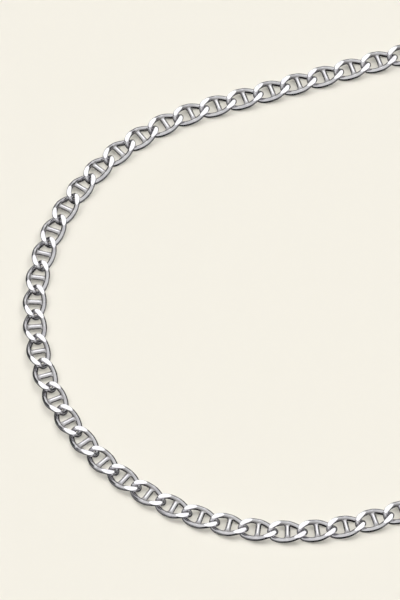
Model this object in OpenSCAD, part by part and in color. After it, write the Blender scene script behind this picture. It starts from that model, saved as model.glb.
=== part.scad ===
// Mariner link chain: a closed necklace of flat-cut silver links, each with a bar across
// its middle, lying on a surface as a long loop. The front of the loop is towards -Y and
// the clasp is at the back, towards +Y. The chain rests on the plane z = 0.

/* [Loop] */
// Number of links, an odd number so that one of them is at the front
link_count = 69; // [61:2:79]
// Distance from one link's centre to the next
pitch = 7.0; // [6.8:0.1:7.4]
// Radius of the round front and back of the loop
bend_r = 61.4; // [50:0.1:64]
// How far the links are slid round the loop from an even start at the front
slide = -0.7; // [-3.5:0.1:3.5]

/* [Link] */
// Width over a link
link_w = 5.8; // [5.6:0.1:6]
// Diameter of the wire
wire_d = 1.25; // [1.15:0.05:1.3]
// Thickness left between the two flat cuts
chain_t = 2.25; // [2.1:0.05:2.4]
// Radius of the wire's centre line round each end of a link
nose_r = 1.8; // [1.7:0.05:1.9]
// Angle that each end is twisted out of the link's middle plane
twist = 46; // [44:1:50]
// How late the twist comes towards the ends of a link, where 1 is even along it
twist_ease = 1.3; // [1:0.1:1.4]
// Width of the bar across the link
bar_d = 1.3; // [1.0:0.05:1.4]
// Clearance between the ends of two links
link_gap = 0.18; // [0.18:0.01:0.3]

/* [Clasp] */
// Length of the box between its two eyes
clasp_l = 10.3; // [8:0.1:14]
// Width of the box
clasp_w = 6.2; // [6.2:0.1:7]
// Height of the box
clasp_h = 2.7; // [2.5:0.1:3.2]
// Radius of the corners of the box, seen from above
clasp_corner_r = 1.0; // [0.6:0.1:1.6]
// Width of the slope along the top edges of the two ends
clasp_bevel = 0.4; // [0.2:0.1:0.6]

/* [Hidden] */

// The wire's centre line is an oval of four arcs, two noses and two long sides.
half_l = (pitch + wire_d + link_gap) / 2;
half_w = (link_w - wire_d) / 2;
nose_x = half_l - nose_r;
side_r = (nose_x * nose_x + half_w * half_w - nose_r * nose_r) / (2 * (half_w - nose_r));
side_turn = asin(nose_x / (side_r - nose_r));
wire_r = wire_d / 2;

// Corners of the six-sided wire are 60 degrees apart where no flat is cut.
corner = 30;
// Small turn used to find the direction of the wire.
turn_step = 0.5;

// Places of the wire's sections round one quarter of the oval, as the angle of the oval's
// normal: three round the nose and one beside the bar.
beside_bar = 1.1;
quarter = [12, 40, 66, acos(beside_bar / side_r)];
turns = concat(
    quarter,
    [for (i = [3:-1:0]) 180 - quarter[i]],
    [for (q = quarter) 180 + q],
    [for (i = [3:-1:0]) 360 - quarter[i]]
);
sides = 6;
// Sections beside the bar, on the left side and on the right side of the link.
bar_left = [3, 4];
bar_right = [12, 11];

// The loop: two half circles joined by two straight strands.
clasp_reach = clasp_l - bar_d;
clasp_span = pitch + clasp_reach;
loop_l = link_count * pitch + clasp_span;
quarter_l = bend_r * PI / 2;
strand_l = loop_l / 2 - 2 * quarter_l;
last = (link_count - 1) / 2;
front_last = floor(last / 2);
// A straight clasp lies a little inside the round of the loop, so that its eyes meet the links.
clasp_inset = (pow(clasp_span / 2, 2) - pow(pitch / 2, 2)) / (2 * bend_r);

// Flat oval, by the angle of its normal.
function oval_quarter(a) =
    a < 90 - side_turn
        ? [nose_x + nose_r * cos(a), nose_r * sin(a)]
        : [side_r * cos(a), half_w - side_r + side_r * sin(a)];
function fold(a) = let (b = a % 180) b > 90 ? 180 - b : b;
function oval(a) =
    let (b = (a + 360) % 360, p = oval_quarter(fold(b)))
    [b > 90 && b < 270 ? -p.x : p.x, b > 180 ? -p.y : p.y];

// Centre line of the twisted wire, with z = 0 in the middle of the chain's thickness.
function wire(a) =
    let (p = oval(a), tilt = -twist * sign(p.x) * pow(abs(p.x) / half_l, twist_ease))
    [p.x, p.y * cos(tilt), p.y * sin(tilt)];
function wire_way(a) = wire(a + turn_step) - wire(a - turn_step);

// Half the angle that a flat cut takes off the section, whose centre is at height z.
function cut_angle(z, rise) = acos(min(cos(corner), (chain_t / 2 - z) / rise));

// One upright section of the wire: six corners, from the top round by the outer side.
function section(a) =
    let (
        c = wire(a),
        way = wire_way(a),
        level = norm([way.x, way.y]),
        out = [way.y, -way.x, 0] / level,
        rise = wire_r * norm(way) / level,
        top = cut_angle(c.z, rise),
        low = 180 - cut_angle(-c.z, rise),
        mid = (top + low) / 2
    )
    [for (b = [top, mid, low, 360 - low, 360 - mid, 360 - top])
        c + out * wire_r * sin(b) + [0, 0, rise * cos(b)]];

// Corner of the bar on the inner side of the wire: x and z are given, y is on the wire.
function bar_corner(side, x, z) =
    let (
        a = acos(x / side_r),
        c = wire(side * a),
        way = wire_way(side * a),
        rise = wire_r * norm(way) / norm([way.x, way.y]),
        off = (z - c.z) / rise
    )
    [x, c.y - side * wire_r * sqrt(max(0, 1 - off * off)), z];

// A section beside the bar keeps its outer corners; its inner ones are the bar's.
function bar_section(a, side, end) =
    let (s = section(a), h = wire_r * cos(corner))
    [s[0], s[1], s[2],
     bar_corner(side, end * bar_d / 4, -h),
     bar_corner(side, end * bar_d / 2, 0),
     bar_corner(side, end * bar_d / 4, h)];

function link_section(i) =
    i == bar_left[0] ? bar_section(turns[i], 1, 1)
    : i == bar_left[1] ? bar_section(turns[i], 1, -1)
    : i == bar_right[0] ? bar_section(turns[i], -1, 1)
    : i == bar_right[1] ? bar_section(turns[i], -1, -1)
    : section(turns[i]);
link_points = [for (i = [0:len(turns) - 1]) each link_section(i)];

// Two triangles between corners a and b of one section and c and d of the next.
function pair(a, b, c, d) = [[a, d, b], [b, d, c]];
function strip(i, k, j) =
    let (m = (j + 1) % sides)
    pair(i * sides + j, i * sides + m, k * sides + m, k * sides + j);

function under_bar(i, j) = (i == bar_left[0] || i == bar_right[1]) && (j == 3 || j == 4);
ring_faces = [
    for (i = [0:len(turns) - 1], j = [0:sides - 1])
        if (!under_bar(i, j)) each strip(i, (i + 1) % len(turns), j)
];
function bar_ring(ends) =
    [for (j = [5, 4, 3]) ends[0] * sides + j, for (j = [3, 4, 5]) ends[1] * sides + j];
bar_faces =
    let (p = bar_ring(bar_left), q = bar_ring(bar_right))
    [for (i = [0:sides - 1]) let (k = (i + 1) % sides) each pair(p[i], q[i], q[k], p[k])];
link_faces = concat(ring_faces, bar_faces);

// Place and heading on the loop, at the length s from the middle of the front.
function loop_half(s) =
    s <= quarter_l
        ? let (b = s / bend_r * 180 / PI)
          [bend_r * sin(b), -strand_l / 2 - bend_r * cos(b), b]
    : s <= quarter_l + strand_l
        ? [bend_r, s - quarter_l - strand_l / 2, 90]
        : let (b = (s - quarter_l - strand_l) / bend_r * 180 / PI)
          [bend_r * cos(b), strand_l / 2 + bend_r * sin(b), 90 + b];
function loop_at(s) = let (h = loop_half(abs(s))) s < 0 ? [-h[0], h[1], -h[2]] : h;

function placed(p, at) =
    [at[0] + p.x * cos(at[2]) - p.y * sin(at[2]),
     at[1] + p.x * sin(at[2]) + p.y * cos(at[2]),
     p.z + chain_t / 2];

// A run of links as one polyhedron of separate closed shells.
module links(places) {
    spots = [for (k = places) loop_at(slide + k * pitch)];
    polyhedron(
        points = [for (at = spots, p = link_points) placed(p, at)],
        faces = [for (i = [0:len(spots) - 1], f = link_faces) f + i * len(link_points) * [1, 1, 1]],
        convexity = 10
    );
}

// Half a link without its bar: an eye that starts inside the box of the clasp.
module clasp_eye() {
    run = [for (i = [bar_right[1]:len(turns) - 1]) i, for (i = [0:bar_left[1]]) i];
    n = len(run);
    polyhedron(
        points = [for (i = run) each section(turns[i])],
        faces = concat(
            [for (i = [0:n - 2], j = [0:sides - 1]) each strip(i, i + 1, j)],
            [[for (j = [0:sides - 1]) j]],
            [[for (j = [sides - 1:-1:0]) (n - 1) * sides + j]]
        ),
        convexity = 4
    );
}

module clasp_outline() {
    square([clasp_l - 2 * clasp_corner_r, clasp_w], center = true);
    square([clasp_l, clasp_w - 2 * clasp_corner_r], center = true);
    for (x = [-1, 1], y = [-1, 1])
        translate([x * (clasp_l / 2 - clasp_corner_r), y * (clasp_w / 2 - clasp_corner_r)])
            circle(r = clasp_corner_r, $fn = 32);
}

module clasp_box() {
    intersection() {
        linear_extrude(clasp_h) clasp_outline();
        rotate([90, 0, 0]) linear_extrude(2 * clasp_w, center = true) polygon([
            [-clasp_l, 0], [clasp_l, 0],
            [clasp_l / 2, clasp_h - clasp_bevel], [clasp_l / 2 - clasp_bevel, clasp_h],
            [clasp_bevel - clasp_l / 2, clasp_h], [-clasp_l / 2, clasp_h - clasp_bevel]
        ]);
    }
}

module front_links() {
    color("silver") links([-front_last:front_last]);
}

module back_links() {
    color("silver") links([for (k = [front_last + 1:last]) each [-k, k]]);
}

module clasp() {
    at = loop_at(loop_l / 2 + slide);
    color("silver")
    translate([at[0], at[1], 0])
    rotate(at[2])
    translate([0, clasp_inset, 0]) {
        clasp_box();
        for (turn = [0, 180])
            rotate(turn) translate([clasp_reach / 2, 0, chain_t / 2]) clasp_eye();
    }
}

front_links();
back_links();
clasp();
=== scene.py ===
"""Dresses a mariner link chain necklace in polished sterling silver on a plain cream floor.

The links are flat-cut ovals with a bar across the middle. They follow a long loop that is
closed at the back by a box clasp. Front is towards -Y, and the chain rests on z = 0.
"""

from math import acos, asin, copysign, cos, pi, radians, sin, sqrt

import bmesh
import bpy
from mathutils import Euler, Matrix, Vector


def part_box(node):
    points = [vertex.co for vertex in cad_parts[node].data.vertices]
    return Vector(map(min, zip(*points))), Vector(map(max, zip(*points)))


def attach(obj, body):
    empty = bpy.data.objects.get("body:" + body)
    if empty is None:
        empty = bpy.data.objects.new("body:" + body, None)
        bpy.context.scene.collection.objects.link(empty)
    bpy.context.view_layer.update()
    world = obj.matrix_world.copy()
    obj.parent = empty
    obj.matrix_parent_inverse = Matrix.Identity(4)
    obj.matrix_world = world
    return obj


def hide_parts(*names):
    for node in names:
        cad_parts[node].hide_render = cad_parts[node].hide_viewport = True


bl_info = {
    "name": "Mariner Link Chain",
    "version": (1, 0, 0),
    "blender": (4, 5, 0),
    "location": "3D View > Sidebar > Chain",
    "description": "Makes a flat-cut mariner link necklace with its clasp, and a plain studio for it",
    "category": "Add Mesh",
}

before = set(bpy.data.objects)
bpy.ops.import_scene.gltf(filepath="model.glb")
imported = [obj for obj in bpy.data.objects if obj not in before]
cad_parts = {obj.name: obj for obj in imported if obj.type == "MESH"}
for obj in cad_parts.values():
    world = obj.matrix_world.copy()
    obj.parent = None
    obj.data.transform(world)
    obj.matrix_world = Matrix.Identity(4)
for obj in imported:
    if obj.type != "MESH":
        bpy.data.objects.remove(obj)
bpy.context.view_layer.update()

MM = 0.001
BODY = "root"
CHAIN_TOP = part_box("front_links")[1].z
CLASP_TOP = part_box("clasp")[1].z

# Points that lie nearer than this are one point.
TOUCHING = 0.001 * MM

# Names of what the links carry to their material: the filed cuts from their making, a mask of painted
# shade with oxide in the nose hollows, and a tone for each link.
FILED = "filed"
SHADE_AND_OXIDE = "shade_and_oxide_mark"
LINK_TONE = "link_tone"


class ChainSizes(bpy.types.PropertyGroup):
    """Sizes of the links and of the loop that they follow"""

    link_count: bpy.props.IntProperty(
        name="Links",
        description="Number of links in the whole loop",
        default=69,
        min=3,
    )
    front_reach: bpy.props.IntProperty(
        name="Front reach",
        description="Links of the front run on each side of its middle link",
        default=17,
        min=1,
    )
    pitch: bpy.props.FloatProperty(
        name="Pitch",
        description="Distance from one link's centre to the next",
        default=7.0 * MM,
        subtype="DISTANCE",
        unit="LENGTH",
    )
    bend: bpy.props.FloatProperty(
        name="Bend radius",
        description="Radius of the round front and back of the loop",
        default=61.4 * MM,
        subtype="DISTANCE",
        unit="LENGTH",
    )
    slide: bpy.props.FloatProperty(
        name="Slide",
        description="How far the links are slid round the loop from an even start at the front",
        default=-0.7 * MM,
        subtype="DISTANCE",
        unit="LENGTH",
    )
    width: bpy.props.FloatProperty(
        name="Link width",
        description="Width over a link",
        default=5.8 * MM,
        subtype="DISTANCE",
        unit="LENGTH",
    )
    wire: bpy.props.FloatProperty(
        name="Wire",
        description="Diameter of the wire",
        default=1.25 * MM,
        subtype="DISTANCE",
        unit="LENGTH",
    )
    thickness: bpy.props.FloatProperty(
        name="Thickness",
        description="Thickness left between the two flat cuts",
        default=CHAIN_TOP,
        subtype="DISTANCE",
        unit="LENGTH",
    )
    nose: bpy.props.FloatProperty(
        name="Nose radius",
        description="Radius of the wire's centre line round each end of a link",
        default=1.8 * MM,
        subtype="DISTANCE",
        unit="LENGTH",
    )
    twist: bpy.props.FloatProperty(
        name="Twist",
        description="Angle that each end of a link is twisted out of its middle plane",
        default=radians(46),
        subtype="ANGLE",
    )
    twist_ease: bpy.props.FloatProperty(
        name="Twist ease",
        description="How late the twist comes towards the ends of a link, where 1 is even along it",
        default=1.3,
        min=1.0,
    )
    bar: bpy.props.FloatProperty(
        name="Bar",
        description="Width of the bar across a link",
        default=1.3 * MM,
        subtype="DISTANCE",
        unit="LENGTH",
    )
    clearance: bpy.props.FloatProperty(
        name="Clearance",
        description="Clearance between the ends of two links",
        default=0.18 * MM,
        subtype="DISTANCE",
        unit="LENGTH",
    )
    edge: bpy.props.FloatProperty(
        name="Cut edge",
        description="Width of the worn edge round each flat cut",
        default=0.04 * MM,
        subtype="DISTANCE",
        unit="LENGTH",
    )
    looseness: bpy.props.FloatProperty(
        name="Looseness",
        description="Most that a link leans from its neighbours",
        default=radians(0.5),
        subtype="ANGLE",
    )


class ClaspSizes(bpy.types.PropertyGroup):
    """Sizes of the box clasp"""

    length: bpy.props.FloatProperty(
        name="Length",
        description="Length of the box between its two eyes",
        default=10.3 * MM,
        subtype="DISTANCE",
        unit="LENGTH",
    )
    width: bpy.props.FloatProperty(
        name="Width",
        description="Width of the box",
        default=6.2 * MM,
        subtype="DISTANCE",
        unit="LENGTH",
    )
    height: bpy.props.FloatProperty(
        name="Height",
        description="Height of the box",
        default=CLASP_TOP,
        subtype="DISTANCE",
        unit="LENGTH",
    )
    corner: bpy.props.FloatProperty(
        name="Corner radius",
        description="Radius of the box's corners, seen from above",
        default=1.0 * MM,
        subtype="DISTANCE",
        unit="LENGTH",
    )
    edge: bpy.props.FloatProperty(
        name="Edge radius",
        description="Rounding along the long edges of the box",
        default=0.35 * MM,
        subtype="DISTANCE",
        unit="LENGTH",
    )
    bevel: bpy.props.FloatProperty(
        name="End slope",
        description="Drop of the top at each end of the box",
        default=0.4 * MM,
        subtype="DISTANCE",
        unit="LENGTH",
    )
    seam: bpy.props.FloatProperty(
        name="Seam",
        description="Width of the seam where the tongue's head meets the box",
        default=0.14 * MM,
        subtype="DISTANCE",
        unit="LENGTH",
    )
    seam_place: bpy.props.FloatProperty(
        name="Seam place",
        description="How far the seam lies from the middle of the box, as a share of its length",
        default=0.16,
        min=0.0,
        max=0.4,
        subtype="FACTOR",
    )


class SilverFinish(bpy.types.PropertyGroup):
    """Colours and polish of the silver"""

    bright: bpy.props.StringProperty(
        name="Bright silver",
        description="sRGB hex of silver straight from the polishing wheel",
        default="#F6F5F7",
    )
    hazed: bpy.props.StringProperty(
        name="Hazed silver",
        description="sRGB hex of silver under its first faint haze",
        default="#DAD8DE",
    )
    # The oxide colour also paints the shade on the bar's sides and ends and on the window walls.
    oxide_and_shade: bpy.props.StringProperty(
        name="Oxide",
        description="sRGB hex of the oxide that the wheel leaves in the recesses",
        default="#7C7771",
    )
    haze: bpy.props.FloatProperty(
        name="Haze",
        description="Most of the hazed colour that shows, in the middle of a cloud of haze",
        default=0.8,
        min=0.0,
        max=1.0,
        subtype="FACTOR",
    )
    # This share sets how dark the painted shade is, and how much oxide shows in the nose hollows.
    shade_and_tarnish: bpy.props.FloatProperty(
        name="Tarnish",
        description="Most of the oxide's colour that shows, in the recesses of the wire",
        default=0.7,
        min=0.0,
        max=1.0,
        subtype="FACTOR",
    )
    polish: bpy.props.FloatProperty(
        name="Roughness of the cuts",
        description="Roughness of the flat cuts",
        default=0.06,
        min=0.0,
        max=1.0,
        subtype="FACTOR",
    )
    tumble: bpy.props.FloatProperty(
        name="Roughness of the wire",
        description="Roughness of the round wire",
        default=0.13,
        min=0.0,
        max=1.0,
        subtype="FACTOR",
    )
    ripple: bpy.props.FloatProperty(
        name="Ripple",
        description="Length of the soft waves that drawing and tumbling leave in the wire",
        default=1.1 * MM,
        subtype="DISTANCE",
        unit="LENGTH",
    )
    scratch: bpy.props.FloatProperty(
        name="Scratch spacing",
        description="Distance between the fine wear scratches",
        default=0.16 * MM,
        subtype="DISTANCE",
        unit="LENGTH",
    )


class StudioSettings(bpy.types.PropertyGroup):
    """Floor, light and camera"""

    floor: bpy.props.StringProperty(
        name="Floor",
        description="sRGB hex of the floor's own colour",
        default="#EFEBE0",
    )
    floor_radius: bpy.props.FloatProperty(
        name="Floor radius",
        description="How far the floor reaches, so that a low view doesn't see past it",
        default=60.0,
        subtype="DISTANCE",
        unit="LENGTH",
    )
    elevation: bpy.props.FloatProperty(
        name="Camera elevation",
        description="Height of the camera above the horizon",
        default=radians(58.58),
        subtype="ANGLE",
    )
    azimuth: bpy.props.FloatProperty(
        name="Camera azimuth",
        description="Turn of the camera round the chain from its front",
        default=radians(71.85),
        subtype="ANGLE",
    )
    target: bpy.props.FloatVectorProperty(
        name="Camera target",
        description="Point on the floor in the middle of the picture",
        default=(-10.02 * MM, -47.53 * MM, 0.0),
        size=3,
        subtype="TRANSLATION",
        unit="LENGTH",
    )
    distance: bpy.props.FloatProperty(
        name="Camera distance",
        description="Distance from the camera to its target",
        default=1501.1 * MM,
        subtype="DISTANCE",
        unit="LENGTH",
    )
    lens: bpy.props.FloatProperty(
        name="Lens",
        description="Focal length of the camera",
        default=372.0,
        unit="CAMERA",
    )
    key: bpy.props.FloatProperty(
        name="Key lights",
        description="Strength of each of the two lights that cast the chain's soft shadow on the floor",
        default=1.3,
        min=0.0,
    )
    key_size: bpy.props.FloatProperty(
        name="Key size",
        description="Angle across each key light, seen from the chain",
        default=radians(50),
        subtype="ANGLE",
    )
    key_spread: bpy.props.FloatProperty(
        name="Key spread",
        description="Turn of each key light away from the softbox, to its left and right",
        default=radians(60),
        subtype="ANGLE",
    )
    fill: bpy.props.FloatProperty(
        name="Fill light",
        description="Strength of the even light that lifts the floor and its shadows",
        default=1.12,
        min=0.0,
    )
    fill_size: bpy.props.FloatProperty(
        name="Fill size",
        description="Angle across the even light, seen from the chain",
        default=radians(160),
        subtype="ANGLE",
    )
    glow: bpy.props.FloatProperty(
        name="Softbox",
        description="Brightness of the softbox over the room",
        default=0.56,
        min=0.0,
    )
    glow_inner: bpy.props.FloatProperty(
        name="Softbox middle",
        description="Angle from the softbox's middle to where it starts to fade",
        default=radians(8),
        subtype="ANGLE",
    )
    glow_outer: bpy.props.FloatProperty(
        name="Softbox edge",
        description="Angle from the softbox's middle to where it ends",
        default=radians(30),
        subtype="ANGLE",
    )
    card_up: bpy.props.FloatProperty(
        name="Side cards",
        description="Angle of the side cards' middles above the horizon",
        default=radians(8),
        subtype="ANGLE",
    )
    card_low: bpy.props.FloatProperty(
        name="Low card",
        description="Angle of the front card's middle below the horizon",
        default=radians(15),
        subtype="ANGLE",
    )
    card_grey: bpy.props.FloatProperty(
        name="Card grey",
        description="Share of the room's light that shows in front of a black card",
        default=0.12,
        min=0.0,
        max=1.0,
        subtype="FACTOR",
    )
    card_inner: bpy.props.FloatProperty(
        name="Card middle",
        description="Angle from a black card's middle to where it starts to fade",
        default=radians(25),
        subtype="ANGLE",
    )
    card_outer: bpy.props.FloatProperty(
        name="Card edge",
        description="Angle from a black card's middle to where it ends",
        default=radians(31),
        subtype="ANGLE",
    )


def linear(text, alpha=1.0):
    """Turns an sRGB hex colour into linear red, green, blue and alpha."""
    shares = [int(text[i : i + 2], 16) / 255 for i in (1, 3, 5)]
    return [c / 12.92 if c <= 0.04045 else ((c + 0.055) / 1.055) ** 2.4 for c in shares] + [alpha]


def add_node(tree, kind, inputs=None, **settings):
    """Adds a node, sets its properties, and sets or links its inputs by name or number."""
    node = tree.nodes.new(kind)
    for name, value in settings.items():
        setattr(node, name, value)
    for key, value in (inputs or {}).items():
        if isinstance(value, bpy.types.NodeSocket):
            tree.links.new(value, node.inputs[key])
        else:
            node.inputs[key].default_value = value
    return node


def new_object(name, data):
    """Adds an object to the scene, at the origin."""
    made = bpy.data.objects.new(name, data)
    bpy.context.scene.collection.objects.link(made)
    return made


def mesh_object(name, shape):
    """Turns a bmesh into a mesh object and frees it."""
    mesh = bpy.data.meshes.new(name)
    shape.to_mesh(mesh)
    shape.free()
    return new_object(name, mesh)


def evaluated_mesh(host, name):
    """The mesh that an object's modifiers give, as a plain mesh; the object is removed."""
    bpy.context.view_layer.update()
    depsgraph = bpy.context.evaluated_depsgraph_get()
    mesh = bpy.data.meshes.new_from_object(host.evaluated_get(depsgraph), depsgraph=depsgraph)
    mesh.name = name
    bpy.data.objects.remove(host)
    return mesh


# Link


class LinkShape:
    """Shape of one link, along X: an oval of two noses and two long sides, twisted about X."""

    side_corners = 9
    quarter_sections = 22
    bar_corners = 24
    bar_rings = 14
    bar_height_share = 0.82
    bar_dip = 0.28
    flare = 0.22 * MM
    flare_run = 0.4 * MM

    def __init__(self, sizes):
        self.sizes = sizes
        self.wire_r = sizes.wire / 2
        self.half_length = (sizes.pitch + sizes.wire + sizes.clearance) / 2
        self.half_width = (sizes.width - sizes.wire) / 2
        self.nose_x = self.half_length - sizes.nose
        spread = self.half_width - sizes.nose
        self.side_r = (self.nose_x**2 + self.half_width**2 - sizes.nose**2) / (2 * spread)
        self.side_turn = asin(self.nose_x / (self.side_r - sizes.nose))

    def oval(self, turn):
        """Point of the untwisted oval where its normal has this angle."""
        turn %= 2 * pi
        fold = turn % pi
        fold = min(fold, pi - fold)
        if fold < pi / 2 - self.side_turn:
            x = self.nose_x + self.sizes.nose * cos(fold)
            y = self.sizes.nose * sin(fold)
        else:
            x = self.side_r * cos(fold)
            y = self.half_width - self.side_r + self.side_r * sin(fold)
        return Vector((-x if pi / 2 < turn < 3 * pi / 2 else x, -y if turn > pi else y))

    def centre(self, turn):
        """Point of the twisted wire's centre line, with z = 0 in the middle of the thickness."""
        x, y = self.oval(turn)
        tilt = -copysign(self.sizes.twist * (abs(x) / self.half_length) ** self.sizes.twist_ease, x)
        return Vector((x, y * cos(tilt), y * sin(tilt)))

    def turn_at(self, quarter, share):
        """Angle of the oval's normal at a share of the length of one quarter of the oval."""
        nose_run = self.sizes.nose * (pi / 2 - self.side_turn)
        side_run = self.side_r * self.side_turn
        backwards = quarter % 2 == 1
        run = (1 - share if backwards else share) * (nose_run + side_run)
        if run < nose_run:
            turn = run / self.sizes.nose
        else:
            turn = pi / 2 - self.side_turn + (run - nose_run) / self.side_r
        return quarter * pi / 2 + (pi / 2 - turn if backwards else turn)

    def section(self, turn):
        """Corners of one upright section of the wire, from the top round by the outer side.

        A section whose wire stands past the chain's thickness is cut flat there. Where no
        cut is made, the corners of the flat fall together.
        """
        step = radians(0.5)
        centre = self.centre(turn)
        way = self.centre(turn + step) - self.centre(turn - step)
        level = way.xy.length
        out = Vector((way.y, -way.x, 0)) / level
        rise = self.wire_r * way.length / level
        half_thickness = self.sizes.thickness / 2
        top = acos(min(1.0, (half_thickness - centre.z) / rise))
        low = acos(min(1.0, (half_thickness + centre.z) / rise))
        corner = self.sizes.edge / self.wire_r
        top_edge, low_edge = min(corner, top / 2), min(corner, low / 2)
        first, last = top + top_edge, pi - low - low_edge
        count = self.side_corners
        arc = [first + (last - first) * i / (count - 1) for i in range(count)]
        places = [(sin(top) * (1 - top_edge / (top or 1)), cos(top))]
        places += [(sin(b), cos(b)) for b in arc]
        places += [(sin(low) * (1 - low_edge / (low or 1)), -cos(low))]
        places += [(-across, up) for across, up in reversed(places)]
        up_way = Vector((0, 0, rise))
        return [centre + out * self.wire_r * across + up_way * up for across, up in places]

    def turns(self):
        """Angles of all the sections round the oval."""
        count = self.quarter_sections
        return [self.turn_at(quarter, i / count) for quarter in range(4) for i in range(count)]

    def add_wire(self, shape, turns, closed):
        """Adds the wire through these sections to a bmesh, and marks its flat cuts."""
        filed = shape.faces.layers.float.new(FILED)
        rings = [[shape.verts.new(p) for p in self.section(turn)] for turn in turns]
        corners = len(rings[0])
        flats = (corners // 2 - 1, corners - 1)
        pairs = list(zip(rings, rings[1:]))
        if closed:
            pairs.append((rings[-1], rings[0]))
        else:
            shape.faces.new(rings[0])
            shape.faces.new(reversed(rings[-1]))
        for ring, following in pairs:
            for j in range(corners):
                k = (j + 1) % corners
                face = shape.faces.new((ring[j], following[j], following[k], ring[k]))
                face.smooth = j not in flats
                face[filed] = 1.0 if j in flats else 0.0

    def add_bar(self, shape):
        """Adds the bar, which widens and sinks towards its ends, where it is soldered to the wire."""
        inner = self.half_width - self.wire_r
        rings = []
        for i in range(self.bar_rings):
            y = -cos(pi * i / (self.bar_rings - 1)) * self.half_width
            share = min(1.0, max(0.0, (abs(y) - inner + self.flare_run) / self.flare_run))
            across = self.sizes.bar / 2 + self.flare * share**2
            up = self.sizes.bar / 2 * (self.bar_height_share - self.bar_dip * share)
            ring = []
            for j in range(self.bar_corners):
                b = 2 * pi * j / self.bar_corners
                ring.append(shape.verts.new((across * cos(b), y, up * sin(b))))
            rings.append(ring)
        for ring, following in zip(rings, rings[1:]):
            for j in range(self.bar_corners):
                k = (j + 1) % self.bar_corners
                shape.faces.new((ring[j], following[j], following[k], ring[k])).smooth = True
        shape.faces.new(rings[0])
        shape.faces.new(rings[-1])


def finished_shape(shape):
    """Closes a bmesh and turns its faces outwards."""
    bmesh.ops.remove_doubles(shape, verts=shape.verts, dist=TOUCHING)
    bmesh.ops.dissolve_degenerate(shape, edges=shape.edges, dist=TOUCHING)
    bmesh.ops.recalc_face_normals(shape, faces=shape.faces)
    return shape


def sharpen(mesh, angle=radians(24)):
    """Marks the edges that a polisher leaves crisp, so that shading breaks there."""
    shape = bmesh.new()
    shape.from_mesh(mesh)
    bmesh.ops.dissolve_degenerate(shape, edges=shape.edges, dist=TOUCHING)
    for edge in shape.edges:
        edge.smooth = edge.calc_face_angle(0.0) < angle
    shape.to_mesh(mesh)
    shape.free()


def fade(distance, reach):
    """1 at no distance, falling evenly to 0 at the reach and beyond."""
    return max(0.0, 1 - distance / reach)


class ShadeAndOxide:
    """Places on a link that take painted shade, and how dark; the nose hollows also keep a little
    oxide.
    """

    # The hollow share is painted shade and oxide; the solder, flank and wall shares are painted shade.
    bar_reach = 0.9 * MM
    hollow_shade_and_oxide = 0.15
    hollow_length = 1.1 * MM
    hollow_width = 1.6 * MM
    solder_length = 0.4 * MM
    solder_width = 1.2 * MM
    solder_height = 0.4 * MM
    flank_shade = 0.8
    flank_start = 0.25 * MM
    flank_width = 0.3 * MM
    wall_shade = 0.8
    wall_start = 2.0 * MM
    wall_fade = 1.0 * MM
    wall_facing = 0.1
    wall_full_facing = 0.7

    def __init__(self, shape):
        self.nose = shape.half_length - shape.wire_r
        self.side = shape.half_width - shape.wire_r

    def hollow(self, x, y):
        """The hollow of a nose, where the next link hangs: painted shade and oxide."""
        return fade(abs(x - self.nose), self.hollow_length) * fade(y, self.hollow_width)

    def solder(self, x, y, z):
        """The low ends of the bar, at the sides of the link, which take painted shade."""
        if z >= self.solder_height:
            return 0.0
        return fade(abs(y - self.side), self.solder_length) * fade(x, self.solder_width)

    def flank(self, x, y):
        """The sides of the bar, which take painted shade."""
        if y >= self.side or x >= self.bar_reach:
            return 0.0
        return 1 - fade(max(0.0, x - self.flank_start), self.flank_width)

    def wall(self, x, y, inwards):
        """Painted shade on the sides of the windows beside the bar, by how far they face the link's
        middle.
        """
        if x <= self.bar_reach and y <= self.side:
            return 0.0
        facing = (inwards - self.wall_facing) / (self.wall_full_facing - self.wall_facing)
        return min(1.0, max(0.0, facing)) * fade(max(0.0, x - self.wall_start), self.wall_fade)

    def oxide_and_shade(self, place, normal):
        """Share of painted shade at a point of the link, with oxide in the nose hollows."""
        x, y, z = (abs(c) for c in place)
        inwards = -normal.xy.dot(place.xy.normalized())
        return max(
            self.hollow_shade_and_oxide * self.hollow(x, y),
            self.solder(x, y, z),
            self.flank_shade * self.flank(x, y),
            self.wall_shade * self.wall(x, y, inwards),
        )


def mark_shade_and_oxide(mesh, shape):
    """Marks the share of painted shade, with oxide in the nose hollows, at each point of a link."""
    shade_and_oxide_places = ShadeAndOxide(shape)
    marks = mesh.attributes.new(SHADE_AND_OXIDE, "FLOAT", "POINT")
    for i, vert in enumerate(mesh.vertices):
        marks.data[i].value = shade_and_oxide_places.oxide_and_shade(vert.co, vert.normal)


def joined(name, shapes):
    """Unites closed bmeshes into one mesh, as solder does."""
    first, *others = [mesh_object(name, shape) for shape in shapes]
    for other in others:
        union = first.modifiers.new("Solder", "BOOLEAN")
        union.operation = "UNION"
        union.solver = "EXACT"
        union.object = other
    mesh = evaluated_mesh(first, name)
    for other in others:
        bpy.data.objects.remove(other)
    return mesh


def link_mesh(sizes):
    """One finished link at the origin, with z = 0 in the middle of its thickness."""
    shape = LinkShape(sizes)
    wire, bar = bmesh.new(), bmesh.new()
    shape.add_wire(wire, shape.turns(), closed=True)
    shape.add_bar(bar)
    mesh = joined("link", [finished_shape(wire), finished_shape(bar)])
    sharpen(mesh)
    mark_shade_and_oxide(mesh, shape)
    return mesh


# Loop


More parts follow.
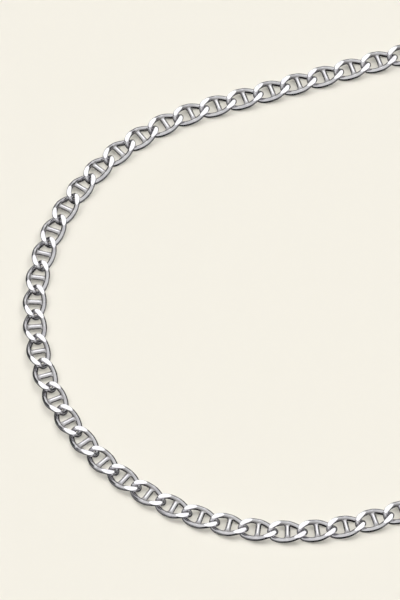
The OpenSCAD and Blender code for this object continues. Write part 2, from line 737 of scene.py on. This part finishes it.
class Loop:
    """The line that the links follow: two half circles joined by two straight strands."""

    bend_steps = 180

    def __init__(self, sizes, clasp):
        self.bend = sizes.bend
        self.clasp_room = sizes.pitch + clasp.length - sizes.bar
        self.length = sizes.link_count * sizes.pitch + self.clasp_room
        self.quarter = self.bend * pi / 2
        self.strand = self.length / 2 - 2 * self.quarter

    def at(self, run):
        """Place and heading at this length from the middle of the front, going towards +X."""
        if run <= self.quarter:
            turn = run / self.bend
            return self.bend * sin(turn), -self.strand / 2 - self.bend * cos(turn), turn
        if run <= self.quarter + self.strand:
            return self.bend, run - self.quarter - self.strand / 2, pi / 2
        turn = (run - self.quarter - self.strand) / self.bend
        return self.bend * cos(turn), self.strand / 2 + self.bend * sin(turn), pi / 2 + turn

    def path(self, name):
        """The whole loop as a curve object, closed at the middle of the front."""
        steps = self.bend_steps
        runs = [self.quarter * i / steps for i in range(steps + 1)]
        runs += [self.quarter + self.strand + run for run in runs]
        half = [self.at(run)[:2] for run in runs]
        points = half + [(-x, y) for x, y in reversed(half[1:-1])]
        curve = bpy.data.curves.new(name, "CURVE")
        curve.dimensions = "3D"
        spline = curve.splines.new("POLY")
        spline.points.add(len(points) - 1)
        for point, (x, y) in zip(spline.points, points):
            point.co = (x, y, 0, 1)
        spline.use_cyclic_u = True
        return new_object(name, curve)


def links_tree():
    """Geometry Nodes that lay copies of one link along a path, with room for the clasp."""
    tree = bpy.data.node_groups.new("Links along a path", "GeometryNodeTree")
    sockets = [
        ("Link", "NodeSocketGeometry", None),
        ("Path", "NodeSocketObject", None),
        ("First Link", "NodeSocketInt", 0),
        ("Links", "NodeSocketInt", 1),
        ("Last Before Clasp", "NodeSocketInt", 1),
        ("Pitch", "NodeSocketFloat", 7.0 * MM),
        ("Slide", "NodeSocketFloat", 0.0),
        ("Clasp Room", "NodeSocketFloat", 0.0),
        ("Rise", "NodeSocketFloat", 0.0),
        ("Looseness", "NodeSocketFloat", 0.0),
        ("Seed", "NodeSocketInt", 7),
        ("Silver", "NodeSocketMaterial", None),
    ]
    for name, kind, default in sockets:
        socket = tree.interface.new_socket(name, in_out="INPUT", socket_type=kind)
        if default is not None:
            socket.default_value = default
    tree.interface.new_socket("Chain", in_out="OUTPUT", socket_type="NodeSocketGeometry")

    given = add_node(tree, "NodeGroupInput").outputs
    path = add_node(
        tree,
        "GeometryNodeObjectInfo",
        {"Object": given["Path"]},
        transform_space="RELATIVE",
    ).outputs["Geometry"]
    whole = add_node(tree, "GeometryNodeCurveLength", {0: path}).outputs[0]

    # The number of each link, and its length along the path past the middle of the front.
    index = add_node(tree, "GeometryNodeInputIndex").outputs[0]
    number = add_node(tree, "ShaderNodeMath", {0: index, 1: given["First Link"]}, operation="ADD")
    beyond = add_node(
        tree,
        "ShaderNodeMath",
        {0: number.outputs[0], 1: given["Last Before Clasp"]},
        operation="GREATER_THAN",
    )
    skipped = add_node(
        tree,
        "ShaderNodeMath",
        {0: beyond.outputs[0], 1: given["Clasp Room"], 2: given["Slide"]},
        operation="MULTIPLY_ADD",
    )
    run = add_node(
        tree,
        "ShaderNodeMath",
        {0: number.outputs[0], 1: given["Pitch"], 2: skipped.outputs[0]},
        operation="MULTIPLY_ADD",
    )
    wrapped = add_node(
        tree,
        "ShaderNodeMath",
        {0: run.outputs[0], 1: whole},
        operation="FLOORED_MODULO",
    )
    spot = add_node(
        tree,
        "GeometryNodeSampleCurve",
        {"Curves": path, "Length": wrapped.outputs[0]},
        mode="LENGTH",
    )
    height = add_node(tree, "ShaderNodeCombineXYZ", {"Z": given["Rise"]})
    place = add_node(
        tree,
        "ShaderNodeVectorMath",
        {0: spot.outputs["Position"], 1: height.outputs[0]},
        operation="ADD",
    )
    points = add_node(
        tree,
        "GeometryNodePoints",
        {"Count": given["Links"], "Position": place.outputs[0]},
    )

    # Each link heads along the path and leans a little, as links that lie by themselves do.
    heading = add_node(
        tree,
        "FunctionNodeAlignRotationToVector",
        {"Vector": spot.outputs["Tangent"]},
        axis="X",
        pivot_axis="Z",
    )
    least = add_node(tree, "ShaderNodeMath", {0: given["Looseness"], 1: -1.0}, operation="MULTIPLY")
    lean = add_node(
        tree,
        "FunctionNodeRandomValue",
        {"Min": least.outputs[0], "Max": given["Looseness"], "Seed": given["Seed"]},
        data_type="FLOAT_VECTOR",
    )
    turned = add_node(
        tree,
        "FunctionNodeRotateRotation",
        {"Rotation": heading.outputs[0], "Rotate By": lean.outputs[0]},
        rotation_space="LOCAL",
    )
    laid = add_node(
        tree,
        "GeometryNodeInstanceOnPoints",
        {
            "Points": points.outputs[0],
            "Instance": given["Link"],
            "Rotation": turned.outputs[0],
        },
    )
    tone = add_node(tree, "FunctionNodeRandomValue", {"Seed": given["Seed"]}, data_type="FLOAT")
    toned = add_node(
        tree,
        "GeometryNodeStoreNamedAttribute",
        {"Geometry": laid.outputs[0], "Name": LINK_TONE, "Value": tone.outputs[1]},
        data_type="FLOAT",
        domain="INSTANCE",
    )
    whole_chain = add_node(tree, "GeometryNodeRealizeInstances", {0: toned.outputs[0]})
    dressed = add_node(
        tree,
        "GeometryNodeSetMaterial",
        {"Geometry": whole_chain.outputs[0], "Material": given["Silver"]},
    )
    add_node(tree, "NodeGroupOutput", {0: dressed.outputs[0]})
    return tree


def laid_links(name, tree, link, values):
    """A run of links as one plain mesh object. The values are for the tree's named inputs."""
    host = new_object(name, link.copy())
    modifier = host.modifiers.new("Links along a path", "NODES")
    modifier.node_group = tree
    for item in tree.interface.items_tree:
        if item.in_out == "INPUT" and item.name in values:
            modifier[item.identifier] = values[item.name]
    return new_object(name, evaluated_mesh(host, name))


# Clasp


def box_ring(half_width, height, edge, corners=8):
    """Points (y, z) of a box's rounded cross-section, standing on z = 0."""
    ring = []
    centres = [(1, 1), (-1, 1), (-1, -1), (1, -1)]
    for quarter, (side, up) in enumerate(centres):
        y = side * (half_width - edge)
        z = height / 2 + up * (height / 2 - edge)
        for i in range(corners + 1):
            b = (quarter + i / corners) * pi / 2
            ring.append((y + edge * cos(b), z + edge * sin(b)))
    return ring


def clasp_box(clasp):
    """The clasp's box as a bmesh: sections along X with a fine seam round it."""
    half = clasp.length / 2
    steps = 10
    ends = [half - clasp.corner * (1 - sin(pi / 2 * i / steps)) for i in range(steps + 1)]
    seam_x = clasp.length * clasp.seam_place
    seam = [seam_x - clasp.seam / 2, seam_x, seam_x + clasp.seam / 2]
    shape = bmesh.new()
    rings = []
    for x in [-x for x in reversed(ends)] + seam + ends:
        past = max(0.0, abs(x) - (half - clasp.corner))
        inset = clasp.corner - sqrt(max(0.0, clasp.corner**2 - past**2))
        drop = max(0.0, abs(x) - (half - clasp.bevel))
        if x == seam_x:
            inset = clasp.seam
            drop = clasp.seam
        ring = box_ring(clasp.width / 2 - inset, clasp.height - drop, clasp.edge)
        rings.append([shape.verts.new((x, y, z)) for y, z in ring])
    count = len(rings[0])
    for ring, following in zip(rings, rings[1:]):
        for j in range(count):
            k = (j + 1) % count
            shape.faces.new((ring[j], ring[k], following[k], following[j])).smooth = True
    shape.faces.new(rings[0])
    shape.faces.new(rings[-1])
    return finished_shape(shape)


def clasp_eye(sizes, clasp, side):
    """One eye of the clasp as a bmesh: half a link without its bar, starting inside the box."""
    link = LinkShape(sizes)
    reach = (clasp.length - sizes.bar) / 2
    past_middle = 0.3 * MM
    turns = [turn for turn in link.turns() if link.oval(turn).x > -past_middle]
    start = next(i for i, turn in enumerate(turns) if turn > pi)
    shape = bmesh.new()
    link.add_wire(shape, turns[start:] + turns[:start], closed=False)
    where = Matrix.Translation((side * reach, 0, sizes.thickness / 2))
    facing = Matrix.Rotation(0 if side > 0 else pi, 4, "Z")
    bmesh.ops.transform(shape, matrix=where @ facing, verts=shape.verts)
    return finished_shape(shape)


# Silver


def silver(name, finish, seed):
    """Sterling silver, tumbled and then buffed: nearly a mirror, with a haze of fine wear.

    To the eye it is neutral and very bright, and takes most of its light and dark from the room.
    Filed cuts are flatter and brighter than the drawn wire. Elsewhere, painted shade darkens the
    bar's sides and ends and the window walls, and the nose hollows take painted shade and oxide.
    """
    material = bpy.data.materials.new(name)
    material.use_nodes = True
    tree = material.node_tree
    tree.nodes.clear()
    place = add_node(tree, "ShaderNodeTexCoord").outputs["Object"]
    moved = add_node(
        tree,
        "ShaderNodeMapping",
        {"Vector": place, "Location": (seed * 0.13, seed * 0.29, seed * 0.07)},
    ).outputs[0]
    filed = add_node(tree, "ShaderNodeAttribute", attribute_name=FILED).outputs["Fac"]
    shade_and_oxide_mark = add_node(tree, "ShaderNodeAttribute", attribute_name=SHADE_AND_OXIDE).outputs["Fac"]
    tone = add_node(tree, "ShaderNodeAttribute", attribute_name=LINK_TONE).outputs["Fac"]

    # Haze comes in soft clouds about three ripples wide, and it roughens the metal a little.
    cloud_edge, cloud_middle, haze_roughness = 0.45, 0.75, 0.08
    cloud = add_node(
        tree,
        "ShaderNodeTexNoise",
        {"Vector": moved, "Scale": 1 / (3 * finish.ripple), "Detail": 4.0, "Roughness": 0.6},
    ).outputs[0]
    haze = add_node(
        tree,
        "ShaderNodeMapRange",
        {
            "Value": cloud,
            "From Min": cloud_edge,
            "From Max": cloud_middle,
            "To Min": 0.0,
            "To Max": finish.haze,
        },
    ).outputs[0]
    hazed = add_node(
        tree,
        "ShaderNodeMix",
        {"Factor": haze, 6: linear(finish.bright), 7: linear(finish.hazed)},
        data_type="RGBA",
    ).outputs[2]
    # Painted shade: away from the filed cuts, the marked places are mixed towards the dark oxide
    # colour, for shade on the bar's sides and ends and the window walls, and for shade and oxide in the
    # nose hollows.
    unfiled_shade = add_node(
        tree,
        "ShaderNodeMapRange",
        {"Value": filed, "To Min": finish.shade_and_tarnish, "To Max": 0.0},
    ).outputs[0]
    shade_and_oxide_share = add_node(
        tree,
        "ShaderNodeMath",
        {0: shade_and_oxide_mark, 1: unfiled_shade},
        operation="MULTIPLY",
        use_clamp=True,
    )
    colour = add_node(
        tree,
        "ShaderNodeMix",
        {"Factor": shade_and_oxide_share.outputs[0], 6: hazed, 7: linear(finish.oxide_and_shade)},
        data_type="RGBA",
    ).outputs[2]

    # Roughness: the cuts are the smoothest, and each link differs by up to a fifth.
    link_spread = 0.2
    base = add_node(
        tree,
        "ShaderNodeMapRange",
        {"Value": filed, "To Min": finish.tumble, "To Max": finish.polish},
    ).outputs[0]
    varied = add_node(
        tree,
        "ShaderNodeMapRange",
        {"Value": tone, "To Min": 1 - link_spread, "To Max": 1 + link_spread},
    ).outputs[0]
    rough = add_node(tree, "ShaderNodeMath", {0: base, 1: varied}, operation="MULTIPLY").outputs[0]
    worn = add_node(
        tree,
        "ShaderNodeMath",
        {0: haze, 1: haze_roughness, 2: rough},
        operation="MULTIPLY_ADD",
        use_clamp=True,
    ).outputs[0]

    # Soft waves of the drawn wire, hardly there on the filed cuts.
    wave_depth, wire_waves, cut_waves = 0.05 * MM, 0.35, 0.03
    wave = add_node(
        tree,
        "ShaderNodeTexNoise",
        {"Vector": moved, "Scale": 1 / finish.ripple, "Detail": 2.0, "Roughness": 0.4},
    ).outputs[0]
    soft = add_node(
        tree,
        "ShaderNodeMapRange",
        {"Value": filed, "To Min": wire_waves, "To Max": cut_waves},
    ).outputs[0]
    waved = add_node(
        tree,
        "ShaderNodeBump",
        {"Strength": soft, "Distance": wave_depth, "Height": wave},
    ).outputs[0]

    # Real wear scratches are far finer than this; they are drawn as coarse as the render shows.
    scratch_depth, scratch_strength = 0.01 * MM, 0.06
    scratch = add_node(
        tree,
        "ShaderNodeTexVoronoi",
        {"Vector": moved, "Scale": 1 / finish.scratch},
        feature="DISTANCE_TO_EDGE",
    ).outputs[0]
    scratched = add_node(
        tree,
        "ShaderNodeBump",
        {
            "Strength": scratch_strength,
            "Distance": scratch_depth,
            "Height": scratch,
            "Normal": waved,
        },
    ).outputs[0]
    shader = add_node(
        tree,
        "ShaderNodeBsdfPrincipled",
        {"Base Color": colour, "Metallic": 1.0, "Roughness": worn, "Normal": scratched},
    )
    add_node(tree, "ShaderNodeOutputMaterial", {"Surface": shader.outputs[0]})
    return material


class CHAIN_OT_links(bpy.types.Operator):
    """Makes the front and back runs of links"""

    bl_idname = "chain.links"
    bl_label = "Make Links"

    def execute(self, context):
        scene = context.scene
        sizes = scene.chain_sizes
        loop = Loop(sizes, scene.clasp_sizes)
        metal = silver("Buffed sterling silver wire", scene.silver_finish, seed=1)
        link = link_mesh(sizes)
        path = loop.path("loop_path")
        tree = links_tree()
        front = 2 * sizes.front_reach + 1
        shared = {
            "Path": path,
            "Last Before Clasp": (sizes.link_count - 1) // 2,
            "Pitch": sizes.pitch,
            "Slide": sizes.slide,
            "Clasp Room": loop.clasp_room,
            "Rise": sizes.thickness / 2,
            "Looseness": sizes.looseness,
            "Silver": metal,
        }
        runs = [
            ("front_chain", "front_links", -sizes.front_reach, front, 3),
            ("back_chain", "back_links", sizes.front_reach + 1, sizes.link_count - front, 4),
        ]
        for name, node, first, count, seed in runs:
            values = dict(shared, **{"First Link": first, "Links": count, "Seed": seed})
            chain = laid_links(name, tree, link, values)
            if len(chain.data.polygons) < count * len(link.polygons):
                raise RuntimeError(f"{name} came out with too few faces")
            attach(chain, BODY)
            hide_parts(node)
        bpy.data.objects.remove(path)
        return {"FINISHED"}


class CHAIN_OT_clasp(bpy.types.Operator):
    """Makes the box clasp at the back of the loop"""

    bl_idname = "chain.clasp"
    bl_label = "Make Clasp"

    def execute(self, context):
        scene = context.scene
        sizes, clasp = scene.chain_sizes, scene.clasp_sizes
        loop = Loop(sizes, clasp)
        parts = [clasp_box(clasp)] + [clasp_eye(sizes, clasp, side) for side in (-1, 1)]
        mesh = joined("box_clasp", parts)
        sharpen(mesh)
        x, y, heading = loop.at(loop.length / 2 + sizes.slide)
        # A straight clasp lies a little inside the round of the loop, so that its eyes meet the links.
        inset = ((loop.clasp_room / 2) ** 2 - (sizes.pitch / 2) ** 2) / (2 * sizes.bend)
        turn = Matrix.Rotation(heading, 4, "Z")
        mesh.transform(Matrix.Translation((x, y, 0)) @ turn @ Matrix.Translation((0, inset, 0)))
        mesh.materials.clear()
        mesh.materials.append(silver("Buffed sterling silver box", scene.silver_finish, seed=2))
        piece = new_object("box_clasp", mesh)
        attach(piece, BODY)
        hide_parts("clasp")
        return {"FINISHED"}


# Studio


def floor_paper(colour):
    """Matt cream card: no shine, so that it only takes the soft shadow of the chain."""
    material = bpy.data.materials.new("Matt cream card")
    material.use_nodes = True
    shader = material.node_tree.nodes["Principled BSDF"]
    shader.inputs["Base Color"].default_value = linear(colour)
    shader.inputs["Roughness"].default_value = 1.0
    shader.inputs["Specular IOR Level"].default_value = 0.0
    return material


def sun(name, strength, size, azimuth, elevation):
    """A far light of this angle across, that shines from a direction."""
    data = bpy.data.lights.new(name, "SUN")
    data.energy = strength
    data.angle = size
    light = new_object(name, data)
    light.rotation_euler = Euler((pi / 2 - elevation, 0, azimuth))
    return light


def fill_ramp(elements, stops):
    """Sets a colour ramp's stops, each a position and a grey."""
    while len(elements) < len(stops):
        elements.new(0.5)
    for element, (position, grey) in zip(elements, stops):
        element.position = position
        element.color = (grey, grey, grey, 1.0)


def studio_world(studio):
    """A grey room that only the metal sees: darker below, with a dark band above the horizon.

    A softbox stands where the flat cuts mirror it to the camera. Black cards, which the sides of
    the wire mirror, draw its dark outlines.
    """
    world = bpy.data.worlds.new("Studio")
    world.use_nodes = True
    tree = world.node_tree
    tree.nodes.clear()
    way = add_node(tree, "ShaderNodeTexCoord").outputs["Generated"]
    height = add_node(tree, "ShaderNodeSeparateXYZ", {0: way}).outputs["Z"]
    share = add_node(tree, "ShaderNodeMapRange", {"Value": height, "From Min": -1.0, "From Max": 1.0})
    room = add_node(tree, "ShaderNodeValToRGB", {"Fac": share.outputs[0]})
    # The room's grey by height, which is -1 straight down, 0 at the horizon and 1 straight up.
    stops = [
        (-0.60, 0.04),
        (-0.50, 0.20),
        (0.00, 0.22),
        (0.02, 0.07),
        (0.19, 0.07),
        (0.25, 0.42),
        (0.45, 0.70),
        (1.00, 0.64),
    ]
    fill_ramp(room.color_ramp.elements, [((z + 1) / 2, grey) for z, grey in stops])
    box = Euler((pi / 2 - studio.elevation, 0, studio.azimuth + pi)).to_matrix() @ Vector((0, 0, 1))
    along = add_node(tree, "ShaderNodeVectorMath", {0: way, 1: box}, operation="DOT_PRODUCT")
    angle = add_node(tree, "ShaderNodeMath", {0: along.outputs["Value"]}, operation="ARCCOSINE")
    glow = add_node(
        tree,
        "ShaderNodeMapRange",
        {
            "Value": angle.outputs[0],
            "From Min": studio.glow_inner,
            "From Max": studio.glow_outer,
            "To Min": studio.glow,
            "To Max": 0.0,
        },
        interpolation_type="SMOOTHSTEP",
    )
    grey = add_node(
        tree,
        "ShaderNodeMath",
        {0: room.outputs[0], 1: glow.outputs[0]},
        operation="ADD",
    )

    # Two cards stand behind the chain, to the left and right, for strands that run away from
    # the camera, and one low in front for strands that run across.
    level = Euler((0, 0, studio.azimuth)).to_matrix()
    side, up, low = pi / 2 - studio.elevation, studio.card_up, studio.card_low
    cards = [(sign * cos(side) * cos(up), sin(side) * cos(up), sin(up)) for sign in (-1, 1)]
    cards.append((0, -cos(low), -sin(low)))
    nearest = -1.0
    for card in cards:
        to_card = add_node(
            tree,
            "ShaderNodeVectorMath",
            {0: way, 1: level @ Vector(card)},
            operation="DOT_PRODUCT",
        )
        nearest = add_node(
            tree,
            "ShaderNodeMath",
            {0: to_card.outputs["Value"], 1: nearest},
            operation="MAXIMUM",
        ).outputs[0]
    from_card = add_node(tree, "ShaderNodeMath", {0: nearest}, operation="ARCCOSINE")
    open_room = add_node(
        tree,
        "ShaderNodeMapRange",
        {
            "Value": from_card.outputs[0],
            "From Min": studio.card_inner,
            "From Max": studio.card_outer,
            "To Min": studio.card_grey,
            "To Max": 1.0,
        },
    )
    lit = add_node(
        tree,
        "ShaderNodeMath",
        {0: grey.outputs[0], 1: open_room.outputs[0]},
        operation="MULTIPLY",
    )
    sky = add_node(tree, "ShaderNodeBackground", {"Color": lit.outputs[0]})
    add_node(tree, "ShaderNodeOutputWorld", {"Surface": sky.outputs[0]})
    return world


class CHAIN_OT_studio(bpy.types.Operator):
    """Makes the floor, the lights, the world and the camera"""

    bl_idname = "chain.studio"
    bl_label = "Make Studio"

    def execute(self, context):
        scene = context.scene
        studio = scene.studio_settings
        scene.view_settings.view_transform = "Standard"

        shape = bmesh.new()
        bmesh.ops.create_circle(shape, cap_ends=True, segments=64, radius=studio.floor_radius)
        floor = mesh_object("floor", shape)
        floor.data.materials.append(floor_paper(studio.floor))
        floor.visible_glossy = False

        # The suns light the floor alone: the metal takes its light from the world.
        for side in (-1, 1):
            azimuth = studio.azimuth + pi + side * studio.key_spread
            key = sun("key", studio.key, studio.key_size, azimuth, studio.elevation)
            key.visible_glossy = False
        fill = sun("fill", studio.fill, studio.fill_size, 0.0, pi / 2)
        fill.visible_glossy = False
        fill.data.use_shadow = False
        fill.data.cycles.use_multiple_importance_sampling = False
        scene.world = studio_world(studio)
        scene.world.cycles_visibility.diffuse = False

        data = bpy.data.cameras.new("camera")
        data.lens = studio.lens
        data.sensor_width = 36.0
        data.clip_start = 0.01
        data.clip_end = 3 * studio.floor_radius
        camera = new_object("camera", data)
        turned = Euler((pi / 2 - studio.elevation, 0, studio.azimuth))
        camera.rotation_euler = turned
        back = turned.to_matrix() @ Vector((0, 0, 1))
        camera.location = Vector(studio.target) + back * studio.distance
        scene.camera = camera
        return {"FINISHED"}


class CHAIN_PT_sidebar(bpy.types.Panel):
    """Lists the chain's sizes and finishes, and makes its pieces"""

    bl_label = "Mariner Link Chain"
    bl_idname = "CHAIN_PT_sidebar"
    bl_space_type = "VIEW_3D"
    bl_region_type = "UI"
    bl_category = "Chain"

    def draw(self, context):
        layout = self.layout
        scene = context.scene
        groups = [
            ("Links", scene.chain_sizes, CHAIN_OT_links),
            ("Clasp", scene.clasp_sizes, CHAIN_OT_clasp),
            ("Silver", scene.silver_finish, None),
            ("Studio", scene.studio_settings, CHAIN_OT_studio),
        ]
        for title, group, operator in groups:
            box = layout.box()
            box.label(text=title)
            for name in group.bl_rna.properties.keys():
                if name not in ("name", "rna_type"):
                    box.prop(group, name)
            if operator:
                box.operator(operator.bl_idname)


CLASSES = (
    ChainSizes,
    ClaspSizes,
    SilverFinish,
    StudioSettings,
    CHAIN_OT_links,
    CHAIN_OT_clasp,
    CHAIN_OT_studio,
    CHAIN_PT_sidebar,
)


def register():
    for cls in CLASSES:
        bpy.utils.register_class(cls)
    bpy.types.Scene.chain_sizes = bpy.props.PointerProperty(type=ChainSizes)
    bpy.types.Scene.clasp_sizes = bpy.props.PointerProperty(type=ClaspSizes)
    bpy.types.Scene.silver_finish = bpy.props.PointerProperty(type=SilverFinish)
    bpy.types.Scene.studio_settings = bpy.props.PointerProperty(type=StudioSettings)


def unregister():
    del bpy.types.Scene.studio_settings
    del bpy.types.Scene.silver_finish
    del bpy.types.Scene.clasp_sizes
    del bpy.types.Scene.chain_sizes
    for cls in reversed(CLASSES):
        bpy.utils.unregister_class(cls)


def main():
    register()
    bpy.ops.chain.links()
    bpy.ops.chain.clasp()
    bpy.ops.chain.studio()


if __name__ == "__main__":
    main()
